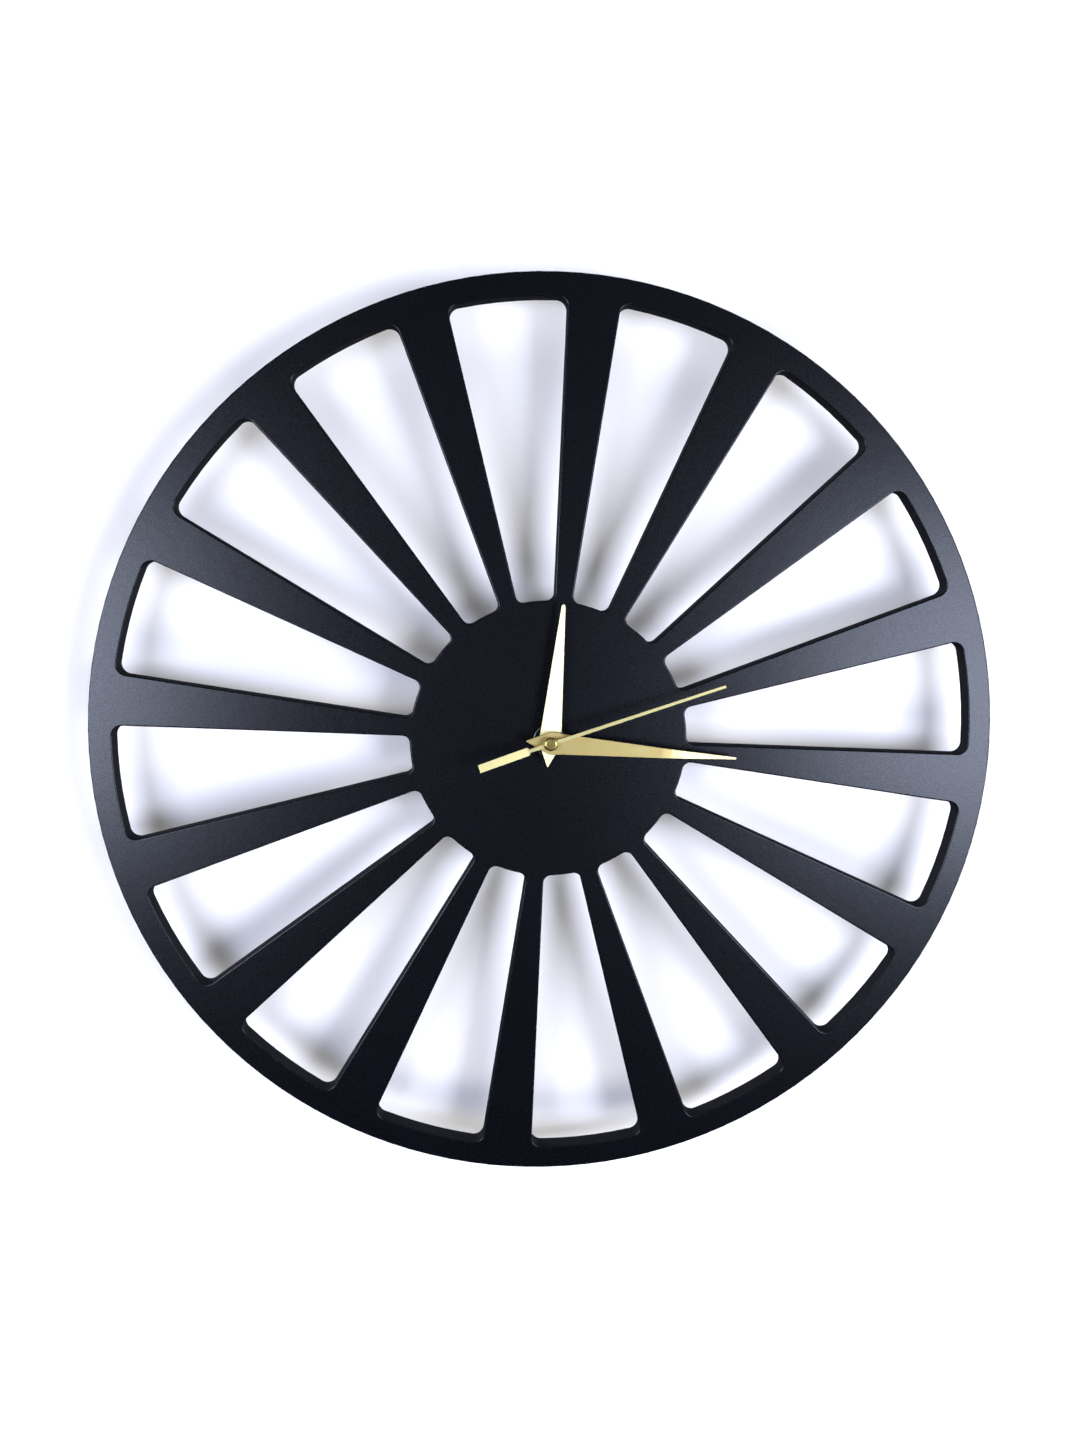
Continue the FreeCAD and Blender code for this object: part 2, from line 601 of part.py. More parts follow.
def stator_plate():
    middle = ROTOR_AXIS[0]
    bar = block((middle - STATOR_REACH, middle + STATOR_REACH), STATOR_BAR_Y, STATOR_Z)
    legs = []
    for side in (-1, 1):
        across = sorted((middle + side * STATOR_LEG_INNER, middle + side * STATOR_REACH))
        legs.append(block(across, (STATOR_BAR_Y[0], STATOR_LEG_TOP), STATOR_Z))
    plate = bar.fuse(legs + [disc(STATOR_RING, STATOR_Z, ROTOR_AXIS)])
    through = (STATOR_Z[0] - EXTRA, STATOR_Z[1] + EXTRA)
    plate = drilled(plate, STATOR_HOLE, through, [ROTOR_AXIS])
    notches = [step_from(ROTOR_AXIS, STATOR_HOLE, bearing) for bearing in STATOR_NOTCH_BEARINGS]
    return drilled(plate, STATOR_NOTCH, through, notches)


def coil_core():
    across = (ROTOR_AXIS[0] - STATOR_REACH, ROTOR_AXIS[0] + STATOR_REACH)
    return block(across, (COIL_Y - CORE_HALF_WIDTH, COIL_Y + CORE_HALF_WIDTH), CORE_Z)


def coil_block(half_x, half_y, half_z, middle_x=ROTOR_AXIS[0]):
    middle_z = (CORE_Z[0] + CORE_Z[1]) / 2
    across = (middle_x - half_x, middle_x + half_x)
    return block(across, (COIL_Y - half_y, COIL_Y + half_y), (middle_z - half_z, middle_z + half_z))


def coil_bobbin():
    tube = coil_block(BOBBIN_HALF, BOBBIN_TUBE_HALF_Y, BOBBIN_TUBE_HALF_Z)
    flanges = []
    for side in (-1, 1):
        middle = ROTOR_AXIS[0] + side * (BOBBIN_HALF - BOBBIN_FLANGE / 2)
        half = BOBBIN_FLANGE / 2
        flanges.append(coil_block(half, BOBBIN_FLANGE_HALF_Y, BOBBIN_FLANGE_HALF_Z, middle))
    return tube.fuse(flanges).cut(coil_core())


def coil_winding():
    half = BOBBIN_HALF - BOBBIN_FLANGE
    winding = coil_block(half, WINDING_HALF_Y, WINDING_HALF_Z)
    long_edges = [edge for edge in winding.Edges if abs(edge.BoundBox.XLength - 2 * half) < TINY]
    winding = winding.makeFillet(WINDING_ROUND, long_edges)
    return winding.cut(coil_block(half + EXTRA, BOBBIN_TUBE_HALF_Y, BOBBIN_TUBE_HALF_Z))


def rotor_magnet():
    return ring(MAGNET_RADIUS, MAGNET_BORE, MAGNET_Z, ROTOR_AXIS)


def rotor_pinion():
    arbor = pivoted_arbor(*TRAIN_SHOULDERS, PIVOT_TIP_BACK, PIVOT_TIP_PLATE, ROTOR_AXIS)
    pinion = toothed_disc(
        ROTOR_TEETH, ROTOR_MODULE, PINION_LEAF, ROTOR_PINION_Z, ROTOR_AXIS, ROTOR_PHASE
    )
    return arbor.fuse([pinion, disc(MAGNET_BORE, MAGNET_Z, ROTOR_AXIS)])


# ------------------------------------------------------------------ gear train
def compound_wheel(at, shoulders, tips, wheel, wheel_z, pinion):
    """A moulded wheel and pinion on one arbor. wheel is (teeth, module, phase)."""
    arbor = pivoted_arbor(*shoulders, *tips, at)
    teeth, module, phase = wheel
    rim = toothed_disc(teeth, module, WHEEL_TOOTH, wheel_z, at, phase)
    tip_radius = module * (teeth / 2 + WHEEL_TOOTH[0])
    rim = lightened(rim, tip_radius, WHEEL_HUB, wheel_z, at)
    return arbor.fuse([rim, pinion])


def intermediate_wheel():
    pinion = toothed_disc(
        INTERMEDIATE_LEAVES, SECOND_MODULE, PINION_LEAF,
        INTERMEDIATE_PINION_Z, INTERMEDIATE_AXIS, INTERMEDIATE_PHASE,
    )
    wheel = (INTERMEDIATE_TEETH, ROTOR_MODULE, 0)
    tips = (PIVOT_TIP_BACK, PIVOT_TIP_PLATE)
    return compound_wheel(
        INTERMEDIATE_AXIS, TRAIN_SHOULDERS, tips, wheel, INTERMEDIATE_WHEEL_Z, pinion
    )


def third_wheel():
    pinion = toothed_disc(THIRD_LEAVES, CENTRE_MODULE, PINION_LEAF, THIRD_PINION_Z, THIRD_AXIS, 0)
    wheel = (THIRD_TEETH, THIRD_MODULE, THIRD_PHASE)
    tips = (PIVOT_TIP_BACK, PIVOT_TIP_PLATE)
    return compound_wheel(THIRD_AXIS, TRAIN_SHOULDERS, tips, wheel, THIRD_WHEEL_Z, pinion)


def motion_wheel():
    pinion = toothed_disc(MOTION_LEAVES, HOUR_MODULE, PINION_LEAF, MOTION_PINION_Z, MOTION_AXIS, 0)
    wheel = (MOTION_TEETH, CANNON_MODULE, MOTION_PHASE)
    tips = (PLATE_BACK + END_SHAKE, PIVOT_TIP_FRONT)
    return compound_wheel(MOTION_AXIS, MOTION_SHOULDERS, tips, wheel, MOTION_WHEEL_Z, pinion)


def second_wheel():
    wheel = toothed_disc(SECOND_TEETH, SECOND_MODULE, WHEEL_TOOTH, SECOND_WHEEL_Z, CENTRE, 0)
    tip_radius = SECOND_MODULE * (SECOND_TEETH / 2 + WHEEL_TOOTH[0])
    wheel = lightened(wheel, tip_radius, WHEEL_HUB, SECOND_WHEEL_Z, CENTRE)
    return wheel.cut(disc(SECOND_ARBOR_RADIUS, (0, CASE_DEPTH)))


def second_arbor():
    pivot = disc(PIVOT_RADIUS, (PIVOT_TIP_BACK, TRAIN_SHOULDERS[0] + EXTRA))
    arbor = disc(SECOND_ARBOR_RADIUS, (TRAIN_SHOULDERS[0], SECOND_HAND_BACK + SECOND_SHEET))
    pinion = toothed_disc(SECOND_LEAVES, THIRD_MODULE, PINION_LEAF, SECOND_PINION_Z, CENTRE, 0)
    return arbor.fuse([pivot, pinion])


def centre_wheel():
    wheel = toothed_disc(
        CENTRE_TEETH, CENTRE_MODULE, WHEEL_TOOTH, CENTRE_WHEEL_Z, CENTRE, CENTRE_PHASE
    )
    tip_radius = CENTRE_MODULE * (CENTRE_TEETH / 2 + WHEEL_TOOTH[0])
    wheel = lightened(wheel, tip_radius, CANNON_FLANGE_RADIUS, CENTRE_WHEEL_Z, CENTRE)
    return wheel.cut(disc(MINUTE_TUBE_RADIUS + RUNNING_GAP, (0, CASE_DEPTH)))


def cannon_pinion():
    """The minute tube, with its pinion and the flange that carries the centre wheel."""
    tube_front = MINUTE_HAND_BACK + HAND_SHEET + TUBE_STANDOUT
    tube = disc(MINUTE_TUBE_RADIUS, (CANNON_FLANGE_Z[0], tube_front))
    pinion = toothed_disc(CANNON_LEAVES, CANNON_MODULE, PINION_LEAF, CANNON_PINION_Z, CENTRE, 0)
    flange = disc(CANNON_FLANGE_RADIUS, CANNON_FLANGE_Z)
    shoulder = disc(CANNON_SHOULDER_RADIUS, CANNON_SHOULDER_Z)
    solid = tube.fuse([pinion, flange, shoulder])
    return solid.cut(disc(SECOND_ARBOR_RADIUS + RUNNING_GAP, (0, tube_front + EXTRA)))


def clutch_spring():
    """The three-armed friction washer that presses the centre wheel on its flange."""
    spring = disc(CLUTCH_HUB_RADIUS, CLUTCH_Z)
    for number in range(CLUTCH_ARMS):
        arm = block((-CLUTCH_ARM_HALF, CLUTCH_ARM_HALF), (0, CLUTCH_RADIUS), CLUTCH_Z)
        spring = spring.fuse(turned(arm, TURN * number / CLUTCH_ARMS))
    return spring.cut(disc(MINUTE_TUBE_RADIUS, (0, CASE_DEPTH)))


def hour_wheel():
    """The hour tube with its wheel behind the bushing."""
    wheel = toothed_disc(HOUR_TEETH, HOUR_MODULE, WHEEL_TOOTH, HOUR_WHEEL_Z, CENTRE, HOUR_PHASE)
    tip_radius = HOUR_MODULE * (HOUR_TEETH / 2 + WHEEL_TOOTH[0])
    wheel = lightened(wheel, tip_radius, HOUR_HUB_RADIUS, HOUR_WHEEL_Z, CENTRE)
    tube_front = HOUR_HAND_BACK + HAND_SHEET + TUBE_STANDOUT
    tube = disc(HOUR_TUBE_RADIUS, (HOUR_WHEEL_Z[0], tube_front))
    hub = disc(HOUR_HUB_RADIUS, (HOUR_WHEEL_Z[0], HOUR_HUB_FRONT))
    bore = disc(MINUTE_TUBE_RADIUS + RUNNING_GAP, (0, tube_front + EXTRA))
    return wheel.fuse([tube, hub]).cut(bore)


def setting_pinion():
    shaft = disc(SETTING_SHAFT_RADIUS, (KNOB_Z[1], SETTING_PINION_Z[1]), SETTING_AXIS)
    pinion = toothed_disc(
        SETTING_LEAVES, CANNON_MODULE, PINION_LEAF, SETTING_PINION_Z, SETTING_AXIS, SETTING_PHASE
    )
    pivot = disc(SETTING_PIVOT_RADIUS, (KNOB_Z[1], PIVOT_TIP_FRONT), SETTING_AXIS)
    return shaft.fuse([pinion, pivot])


def setting_knob():
    knob = disc(KNOB_RADIUS, KNOB_Z, SETTING_AXIS)
    flutes = []
    for number in range(KNOB_FLUTES):
        flutes.append(step_from(SETTING_AXIS, KNOB_RADIUS, TURN * number / KNOB_FLUTES))
    knob = drilled(knob, KNOB_FLUTE_RADIUS, (KNOB_Z[0] - EXTRA, KNOB_Z[1] + EXTRA), flutes)
    dish = ring(KNOB_DISH_RADIUS, SETTING_SHAFT_RADIUS, (0, KNOB_Z[0] + KNOB_DISH_DEPTH), SETTING_AXIS)
    return knob.cut(dish)


# ------------------------------------------------------------------ hands
def hand_blade(reach, tail, tip_half, back):
    """A flat hand that points to 12: a pointed tail, a broad hub and a long straight taper."""
    z = back
    tail_left = Vector(-HAND_TAIL_HALF, -tail, z)
    tail_right = Vector(HAND_TAIL_HALF, -tail, z)
    hub_left = Vector(-HAND_HUB_HALF, 0, z)
    hub_right = Vector(HAND_HUB_HALF, 0, z)
    shoulder_left = Vector(-HAND_SHOULDER_HALF, HAND_SHOULDER, z)
    shoulder_right = Vector(HAND_SHOULDER_HALF, HAND_SHOULDER, z)
    tip_left = Vector(-tip_half, reach - tip_half, z)
    tip_right = Vector(tip_half, reach - tip_half, z)
    right = Part.makePolygon([tail_left, tail_right, hub_right, shoulder_right, tip_right])
    crown = Part.Arc(tip_right, Vector(0, reach, z), tip_left).toShape()
    left = Part.makePolygon([tip_left, shoulder_left, hub_left, tail_left])
    outline = Part.Wire(right.Edges + [crown] + left.Edges)
    blade = Part.Face(outline).extrude(AXIS * HAND_SHEET)
    hub_corners = upright_edges(blade, lambda p: abs(p.x) > HAND_HUB_HALF - TINY)
    blade = blade.makeFillet(HAND_HUB_ROUND, hub_corners)
    return blade.makeChamfer(HAND_EDGE, level_edges(blade, back + HAND_SHEET, 0))


def folded(shape, fold_y, fold_z, outward, degrees):
    """The shape with its end beyond fold_y turned about a crosswise line.

    outward is 1 for the end that points to +y and -1 for the other. The end turns
    towards the wall when degrees is positive, and forwards when it is negative.
    """
    end_y = sorted((fold_y, fold_y + outward * FACE_RADIUS))
    beyond = block((-FACE_RADIUS, FACE_RADIUS), end_y, (0, FACE_RADIUS))
    end = shape.common(beyond)
    end.rotate(Vector(0, fold_y, fold_z), Vector(1, 0, 0), -outward * degrees)
    return shape.cut(beyond).fuse(end)


def tube_hand(reach, tail, tip_half, back, tube_radius, clock, folds=()):
    """A hand pressed on a tube, with a short collet behind the sheet."""
    blade = hand_blade(reach, tail, tip_half, back)
    for fold_y, degrees in reversed(folds):
        blade = folded(blade, fold_y, back + HAND_SHEET, 1, degrees)
    collet = disc(tube_radius + COLLET_WALL, (back - COLLET_DEPTH, back))
    bore = disc(tube_radius, (back - EXTRA, back + EXTRA))
    return turned(blade.fuse(collet).cut(bore), clock)


def hour_hand():
    return tube_hand(
        HOUR_REACH, HOUR_TAIL, HOUR_TIP_HALF, HOUR_HAND_BACK, HOUR_TUBE_RADIUS, HOUR_CLOCK
    )


def minute_hand():
    return tube_hand(
        MINUTE_REACH, MINUTE_TAIL, MINUTE_TIP_HALF, MINUTE_HAND_BACK,
        MINUTE_TUBE_RADIUS, MINUTE_CLOCK, MINUTE_FOLDS,
    )


def second_hand():
    """A thin needle, with a flat counterweight at its tail that tilts forwards a little."""
    depths = (SECOND_HAND_BACK, SECOND_HAND_BACK + SECOND_SHEET)
    weight_neck = COUNTERWEIGHT_START + COUNTERWEIGHT_CHAMFER
    weight_root = COUNTERWEIGHT_HALF - COUNTERWEIGHT_CHAMFER
    right = [
        (COUNTERWEIGHT_HALF, -SECOND_TAIL),
        (COUNTERWEIGHT_HALF, -weight_neck),
        (weight_root, -COUNTERWEIGHT_START),
        (SECOND_ROOT_HALF, -COUNTERWEIGHT_START),
        (SECOND_ROOT_HALF, 0),
        (SECOND_TIP_HALF, SECOND_REACH),
    ]
    left = [(-x, y) for x, y in reversed(right)]
    needle = prism(right + left, depths)
    needle = folded(needle, -weight_neck, SECOND_HAND_BACK, -1, -COUNTERWEIGHT_TILT)
    needle = needle.fuse(disc(SECOND_EYE_RADIUS, depths))
    bore = disc(SOCKET_RADIUS, (depths[0] - EXTRA, depths[1] + EXTRA))
    return turned(needle.cut(bore), SECOND_CLOCK)


def second_hand_socket():
    """The tube through the needle's eye, closed in front by a round dimpled cap."""
    cap_back = SECOND_HAND_BACK + SECOND_SHEET
    cap_front = cap_back + CAP_HEIGHT
    cap = disc(CAP_RADIUS, (cap_back, cap_front))
    cap = cap.makeFillet(CAP_ROUND, level_edges(cap, cap_front, 0))
    cap = cap.cut(disc(DIMPLE_RADIUS, (cap_front - DIMPLE_DEPTH, cap_front + EXTRA)))
    tube = disc(SOCKET_RADIUS, (SOCKET_BACK, cap_back))
    return cap.fuse(tube).cut(disc(SECOND_ARBOR_RADIUS, (0, cap_back)))


# ------------------------------------------------------------------ output
NODES = [
    face_plate, rubber_washer, flat_washer, hex_nut, threaded_bushing,
    front_case, rear_cover, middle_plate, battery, positive_contact, negative_contact,
    circuit_board, controller_chip, crystal_can,
    coil_bobbin, coil_winding, coil_core, stator_plate, rotor_magnet, rotor_pinion,
    intermediate_wheel, second_wheel, second_arbor, third_wheel, centre_wheel,
    cannon_pinion, clutch_spring, motion_wheel, hour_wheel, setting_pinion, setting_knob,
    hour_hand, minute_hand, second_hand, second_hand_socket,
]


def stand_up(shape):
    """Turns the drawing plane upright: y becomes +Z, and z becomes -Y."""
    upright = shape.copy()
    upright.rotate(Vector(0, 0, 0), Vector(1, 0, 0), QUARTER_TURN)
    return upright


def write(name, shape):
    if not shape.isValid():
        raise ValueError(name + " is not a valid solid")
    stand_up(shape).exportStep("parts/" + name + ".step")


os.makedirs("parts", exist_ok=True)
for make in NODES:
    write(make.__name__, make())
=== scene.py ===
"""Looks, lights and camera of the sunburst wall clock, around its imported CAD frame."""

import math

import bmesh
import bpy
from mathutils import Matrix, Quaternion, Vector


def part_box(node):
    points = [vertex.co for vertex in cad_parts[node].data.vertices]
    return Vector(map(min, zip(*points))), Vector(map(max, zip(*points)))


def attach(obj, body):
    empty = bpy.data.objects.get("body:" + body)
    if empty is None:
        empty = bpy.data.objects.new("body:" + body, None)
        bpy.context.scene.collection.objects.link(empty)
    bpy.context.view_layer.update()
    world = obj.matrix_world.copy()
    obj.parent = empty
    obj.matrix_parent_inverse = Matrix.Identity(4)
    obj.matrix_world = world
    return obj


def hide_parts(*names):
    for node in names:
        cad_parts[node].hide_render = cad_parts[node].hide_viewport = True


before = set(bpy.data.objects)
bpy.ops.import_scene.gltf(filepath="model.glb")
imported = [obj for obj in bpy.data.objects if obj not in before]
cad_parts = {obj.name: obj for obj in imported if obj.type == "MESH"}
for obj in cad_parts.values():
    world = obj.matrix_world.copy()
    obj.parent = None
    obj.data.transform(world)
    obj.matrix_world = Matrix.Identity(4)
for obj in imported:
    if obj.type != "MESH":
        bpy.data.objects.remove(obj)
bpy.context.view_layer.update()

MM = 0.001
PER_MM = 1000.0


# ------------------------------------------------------------------ node helpers
# Which sockets of a Mix node hold numbers and which hold colours.
MIX_NUMBER_A = 2
MIX_NUMBER_B = 3
MIX_NUMBER_RESULT = 0
MIX_COLOUR_A = 6
MIX_COLOUR_B = 7
MIX_COLOUR_RESULT = 2

ALONG_X = (1.0, 0.0, 0.0)
ALONG_Y = (0.0, 1.0, 0.0)
TO_VIEWER = (0.0, -1.0, 0.0)


def opaque(colour):
    """A red, green and blue colour with full alpha; a node output is passed on as it is."""
    return (*colour, 1.0) if isinstance(colour, tuple) else colour


class Finish:
    """One node material: a Principled shader and the nodes that feed it, measured in mm."""

    def __init__(self, name, **constants):
        self.material = bpy.data.materials.new(name)
        self.material.use_nodes = True
        self.tree = self.material.node_tree
        self.shader = self.tree.nodes["Principled BSDF"]
        for socket, value in constants.items():
            self.shader.inputs[socket.replace("_", " ")].default_value = value
        self.relief = None

    def node(self, kind, **settings):
        made = self.tree.nodes.new(kind)
        for key, value in settings.items():
            setattr(made, key, value)
        return made

    def feed(self, socket, value):
        """Puts a number, colour or node output into an input socket."""
        if isinstance(value, bpy.types.NodeSocket):
            self.tree.links.new(value, socket)
        else:
            socket.default_value = value

    def position(self, stretch=(1.0, 1.0, 1.0)):
        """The place on the piece, in mm, stretched along each axis."""
        coordinates = self.node("ShaderNodeTexCoord")
        mapping = self.node("ShaderNodeMapping")
        mapping.inputs["Scale"].default_value = [PER_MM * s for s in stretch]
        self.tree.links.new(coordinates.outputs["Object"], mapping.inputs["Vector"])
        return mapping.outputs["Vector"]

    def noise(self, per_mm, detail=3.0, rough=0.5, stretch=(1.0, 1.0, 1.0), warp=0.0):
        """Noise with about this many features to the millimetre."""
        texture = self.node("ShaderNodeTexNoise")
        self.feed(texture.inputs["Vector"], self.position(stretch))
        texture.inputs["Scale"].default_value = per_mm
        texture.inputs["Detail"].default_value = detail
        texture.inputs["Roughness"].default_value = rough
        texture.inputs["Distortion"].default_value = warp
        return texture.outputs["Fac"]

    def cells(self, per_mm):
        """Voronoi cells: the distance from each cell's centre, and a random colour for the cell."""
        texture = self.node("ShaderNodeTexVoronoi", feature="F1")
        self.feed(texture.inputs["Vector"], self.position())
        texture.inputs["Scale"].default_value = per_mm
        return texture

    def maths(self, operation, first, second=0.0):
        made = self.node("ShaderNodeMath", operation=operation)
        self.feed(made.inputs[0], first)
        self.feed(made.inputs[1], second)
        return made.outputs[0]

    def span(self, value, low, high, out_low=0.0, out_high=1.0):
        """The value, remapped from one range to another and kept inside it."""
        made = self.node("ShaderNodeMapRange")
        self.feed(made.inputs["Value"], value)
        made.inputs["From Min"].default_value = low
        made.inputs["From Max"].default_value = high
        made.inputs["To Min"].default_value = out_low
        made.inputs["To Max"].default_value = out_high
        return made.outputs["Result"]

    def blend(self, share, first, second):
        """One colour turning into another."""
        made = self.node("ShaderNodeMix", data_type="RGBA")
        self.feed(made.inputs["Factor"], share)
        self.feed(made.inputs[MIX_COLOUR_A], opaque(first))
        self.feed(made.inputs[MIX_COLOUR_B], opaque(second))
        return made.outputs[MIX_COLOUR_RESULT]

    def blend_number(self, share, first, second):
        """One number turning into another."""
        made = self.node("ShaderNodeMix", data_type="FLOAT")
        self.feed(made.inputs["Factor"], share)
        self.feed(made.inputs[MIX_NUMBER_A], first)
        self.feed(made.inputs[MIX_NUMBER_B], second)
        return made.outputs[MIX_NUMBER_RESULT]

    def radius(self):
        """The distance from the hand axis, in mm."""
        made = self.node("ShaderNodeVectorMath", operation="LENGTH")
        self.feed(made.inputs[0], self.position((1.0, 0.0, 1.0)))
        return made.outputs["Value"]

    def dot(self, vector, direction):
        made = self.node("ShaderNodeVectorMath", operation="DOT_PRODUCT")
        self.feed(made.inputs[0], vector)
        made.inputs[1].default_value = direction
        return made.outputs["Value"]

    def colour(self, value):
        self.feed(self.shader.inputs["Base Color"], value)

    def roughness(self, value):
        self.feed(self.shader.inputs["Roughness"], value)

    def bump(self, height, depth, strength=1.0):
        """Adds relief of a depth in mm on top of any relief already there."""
        made = self.node("ShaderNodeBump")
        made.inputs["Strength"].default_value = strength
        made.inputs["Distance"].default_value = depth * MM
        self.feed(made.inputs["Height"], height)
        if self.relief is not None:
            self.feed(made.inputs["Normal"], self.relief)
        self.relief = made.outputs["Normal"]
        self.feed(self.shader.inputs["Normal"], self.relief)


# ------------------------------------------------------------------ dark finishes
# How squarely a surface faces the viewer, from 1 (the face) through 0 (an edge) to -1 (the back).
FACE_STARTS = 0.35
FACE_FULL = 0.8
BACK_STARTS = -0.6
BACK_FULL = -0.9

PIT_EDGE = (0.035, 0.05)
PIT_RARITY = (0.72, 0.74)
PIT_SHARE = 0.8
PIT_COLOUR = (0.012, 0.012, 0.013)
FACE_DARK = (0.0006, 0.001, 0.0021)
FACE_LIGHT = (0.001, 0.0015, 0.0029)
EDGE_DARK = (0.0012, 0.0016, 0.0026)
EDGE_LIGHT = (0.0034, 0.0042, 0.0062)
BACK_DARK = (0.009, 0.0085, 0.0085)
BACK_LIGHT = (0.032, 0.028, 0.026)


def black_paint():
    """Satin black paint on fibreboard, with a few pits; dull on the cut edges, thin on the back."""
    f = Finish("black_paint", Specular_IOR_Level=0.5)
    normal = f.node("ShaderNodeNewGeometry").outputs["Normal"]
    facing = f.dot(normal, TO_VIEWER)
    flat = f.span(facing, FACE_STARTS, FACE_FULL)
    behind = f.span(facing, BACK_STARTS, BACK_FULL)
    drift = f.span(f.noise(0.03, detail=2.0), 0.3, 0.7)
    face = f.blend(drift, FACE_DARK, FACE_LIGHT)
    pits = f.cells(0.11)
    pit = f.span(pits.outputs["Distance"], *PIT_EDGE, 1.0, 0.0)
    rare = f.span(pits.outputs["Color"], *PIT_RARITY)
    spotted = f.maths("MULTIPLY", pit, rare)
    face = f.blend(f.maths("MULTIPLY", spotted, PIT_SHARE), face, PIT_COLOUR)
    fibre = f.noise(0.9, detail=4.0, rough=0.65, stretch=(1.0, 0.5, 1.0))
    edge = f.blend(fibre, EDGE_DARK, EDGE_LIGHT)
    thin_coat = f.blend(f.noise(0.7, detail=5.0, rough=0.75), BACK_DARK, BACK_LIGHT)
    f.colour(f.blend(behind, f.blend(flat, edge, face), thin_coat))
    grain = f.noise(1.7, detail=3.0, rough=0.55)
    satin = f.span(grain, 0.3, 0.7, 0.25, 0.3)
    dull = f.span(fibre, 0.3, 0.7, 0.7, 0.85)
    f.roughness(f.blend_number(flat, dull, satin))
    f.bump(f.noise(0.22, detail=2.0), 0.05, 0.35)
    f.bump(grain, 0.017, 0.45)
    f.bump(spotted, -0.06, 0.6)
    return f.material


# The ring of the flat washer that is rubbed bright, as distances from the hand axis in mm.
RUBBED_STARTS = 5.98
RUBBED_FULL = 6.08


def black_zinc():
    """Black plated steel with faint turning marks, rubbed bright round the washer's rim."""
    f = Finish("black_zinc", Metallic=0.9)
    marks = f.noise(1.1, detail=3.0)
    plated = f.blend(marks, (0.012, 0.012, 0.014), (0.035, 0.034, 0.036))
    rubbed = f.span(f.radius(), RUBBED_STARTS, RUBBED_FULL)
    f.colour(f.blend(rubbed, plated, (0.62, 0.6, 0.57)))
    f.roughness(f.span(f.noise(3.0, detail=3.0), 0.3, 0.7, 0.3, 0.46))
    f.bump(f.noise(4.0, detail=2.0), 0.01, 0.5)
    return f.material


def rubber():
    """Matte moulded rubber with a dusting of talc."""
    f = Finish("rubber", Specular_IOR_Level=0.35)
    dust = f.span(f.noise(2.2, detail=5.0, rough=0.7), 0.52, 0.75)
    f.colour(f.blend(dust, (0.009, 0.009, 0.01), (0.04, 0.04, 0.042)))
    f.roughness(f.span(f.noise(1.0), 0.3, 0.7, 0.68, 0.86))
    f.bump(f.noise(5.0, detail=3.0), 0.02, 0.6)
    return f.material


def case_plastic():
    """Black moulded plastic with a fine spark texture, smoother where it has been handled."""
    f = Finish("case_plastic", Specular_IOR_Level=0.5)
    spark = f.noise(3.6, detail=3.0, rough=0.7)
    wear = f.span(f.noise(0.09, detail=3.0, rough=0.6), 0.42, 0.62)
    f.colour(f.blend(spark, (0.014, 0.0145, 0.016), (0.027, 0.028, 0.03)))
    f.roughness(f.span(wear, 0.0, 1.0, 0.5, 0.62))
    f.bump(spark, 0.035, 0.6)
    f.bump(f.noise(0.06, detail=1.0), 0.12, 0.25)
    return f.material


def resin():
    """The matte black drop that covers the controller chip."""
    f = Finish("resin")
    f.colour(f.blend(f.noise(0.8, detail=3.0), (0.008, 0.008, 0.009), (0.018, 0.017, 0.017)))
    f.roughness(f.span(f.noise(1.6), 0.3, 0.7, 0.3, 0.5))
    f.bump(f.noise(0.9, detail=2.0), 0.06, 0.4)
    return f.material


def magnet():
    """Sintered ferrite: charcoal grey with a fine granular surface."""
    f = Finish("magnet", Metallic=0.3)
    f.colour(f.blend(f.noise(6.0, detail=4.0), (0.02, 0.02, 0.022), (0.075, 0.073, 0.072)))
    f.roughness(f.span(f.noise(5.0), 0.3, 0.7, 0.42, 0.62))
    f.bump(f.noise(9.0, detail=2.0), 0.01, 0.6)
    return f.material


# ------------------------------------------------------------------ metals
# How far the brush streaks are drawn out along a hand and through its thickness.
STREAK_ALONG = 0.02
STREAK_THROUGH = 0.3
STREAKS_PER_MM = 3.2
STREAK_ROUGHNESS = 0.05
LACQUER_ROUGHNESS = 0.16


